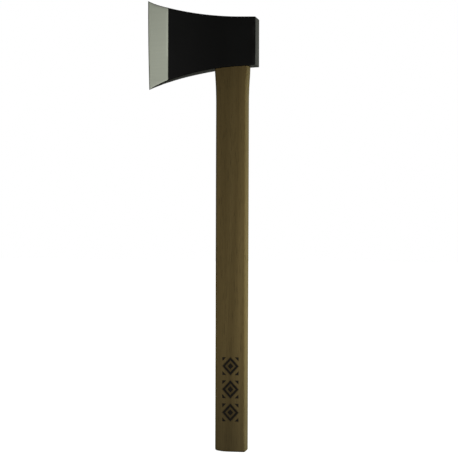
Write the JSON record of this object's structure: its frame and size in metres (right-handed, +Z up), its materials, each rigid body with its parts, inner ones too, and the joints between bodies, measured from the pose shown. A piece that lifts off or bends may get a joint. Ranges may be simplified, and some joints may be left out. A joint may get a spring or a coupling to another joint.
{
  "type": "hatchet",
  "caption": "Hand hatchet with a straight hickory handle, a painted forged head with a bare ground bevel and flat poll, and a wedged eye.",
  "frame": {"origin": "middle of the handle's flat lower end, on the handle's axis", "axes": "+Z up the handle toward the head, +X from the cutting edge toward the poll, +Y across the thickness"},
  "size_m": [0.132, 0.0254, 0.5304],
  "materials": {
    "head_paint": "black semi-gloss paint over forged steel",
    "head_bevel": "bare steel bevel, ground across the edge",
    "handle_wood": "hickory under a thin dark oiled finish",
    "handle_mark": "shallow burnt-in decoration, matt",
    "wedge_wood": "bare hardwood",
    "wedge_steel": "mill-finish steel"
  },
  "bodies": {
    "root": {"axe_head": "head_paint", "handle": "handle_wood", "wooden_wedge": "wedge_wood", "steel_wedge_front": "wedge_steel", "steel_wedge_rear": "wedge_steel"}
  },
  "joints": []
}
